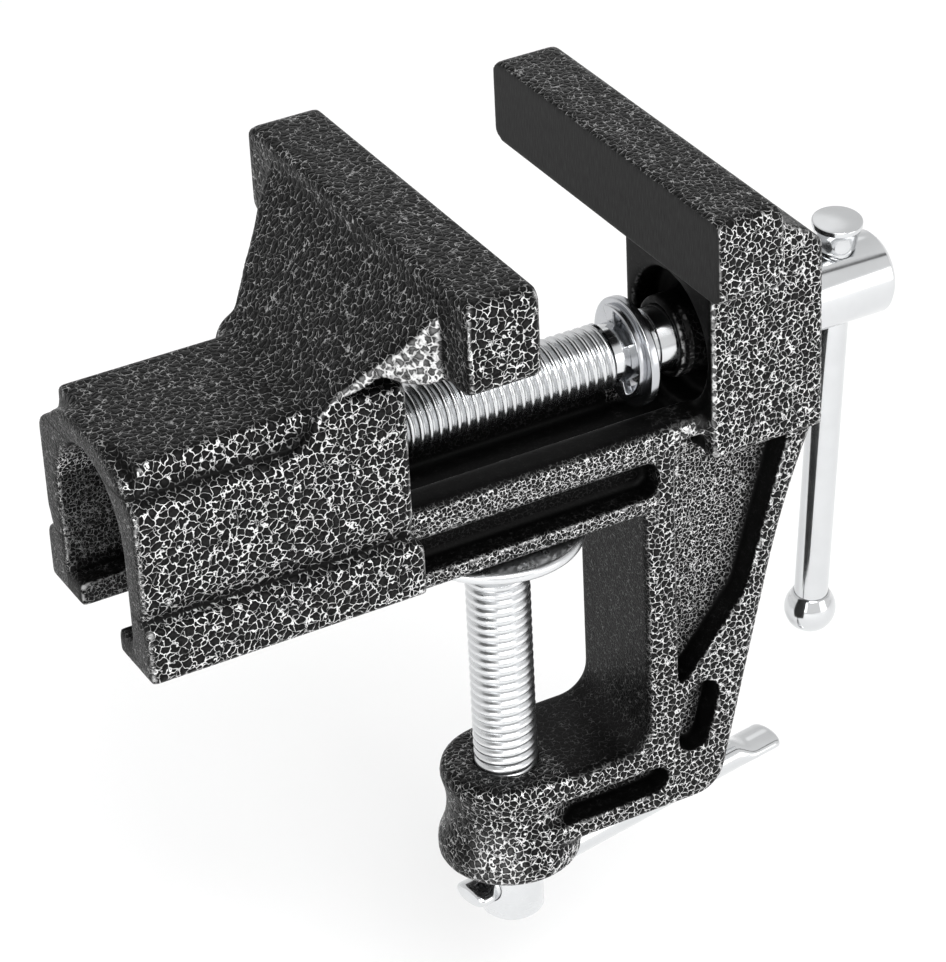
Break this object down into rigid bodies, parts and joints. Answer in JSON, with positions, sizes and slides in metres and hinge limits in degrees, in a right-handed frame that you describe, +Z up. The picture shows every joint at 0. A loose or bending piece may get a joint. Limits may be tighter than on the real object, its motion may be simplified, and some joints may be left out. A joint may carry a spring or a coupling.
{
  "type": "clamp-on bench vise",
  "caption": "Small clamp-on bench vise: a cast C-frame with a fixed jaw and guide rail, a sliding jaw on an arched slide, two screws with sliding cross bars and a clamp pad.",
  "frame": {"origin": "the bench top: the underside of the guide rail, at the upright face of the throat, on the middle plane", "axes": "+Z up; +X along the main screw towards its head and handle; +Y across the jaws"},
  "size_m": [0.1291, 0.0654, 0.1272],
  "materials": {
    "painted_iron": "black and silver hammer-tone paint",
    "plated_screw": "bright zinc plate",
    "plated_small": "bright zinc plate",
    "plated_bar": "bright nickel plate"
  },
  "bodies": {
    "frame": {"fixed_body": "painted_iron"},
    "slide": {"moving_jaw": "painted_iron"},
    "screw": {"main_screw": "plated_screw", "thrust_washer": "plated_small", "retaining_clip": "plated_small"},
    "handle": {"handle_rod": "plated_bar", "handle_knob_upper": "plated_bar", "handle_knob_lower": "plated_bar"},
    "pad": {"clamp_pad": "plated_small"},
    "clamp": {"clamp_screw": "plated_screw"},
    "bar": {"clamp_bar": "plated_bar"}
  },
  "joints": [
    {"name": "screw_turn", "type": "hinge", "parent": "frame", "child": "screw", "pos_m": [0, 0, 0.0227], "axis": [1, 0, 0], "range_deg": [-6840, 3936]},
    {"name": "jaw_slide", "type": "slide", "parent": "frame", "child": "slide", "axis": [1, 0, 0], "range_m": [-0.0164, 0.0285]},
    {"name": "handle_slide", "type": "slide", "parent": "screw", "child": "handle", "axis": [0, -0.0985, 0.9951], "range_m": [0, 0.052]},
    {"name": "pad_lift", "type": "slide", "parent": "frame", "child": "pad", "axis": [0, 0, 1], "range_m": [-0.039, 0]},
    {"name": "clamp_turn", "type": "hinge", "parent": "pad", "child": "clamp", "pos_m": [-0.0197, 0, -0.02], "axis": [0, 0, 1], "range_deg": [-9360, 0]},
    {"name": "bar_slide", "type": "slide", "parent": "clamp", "child": "bar", "axis": [0.9833, 0.1822, 0], "range_m": [-0.0419, 0]}
  ],
  "couplings": [
    {"joint": "jaw_slide", "follows": "screw_turn", "m_per_rad": -0.00023873},
    {"joint": "pad_lift", "follows": "clamp_turn", "m_per_rad": 0.00023873}
  ]
}
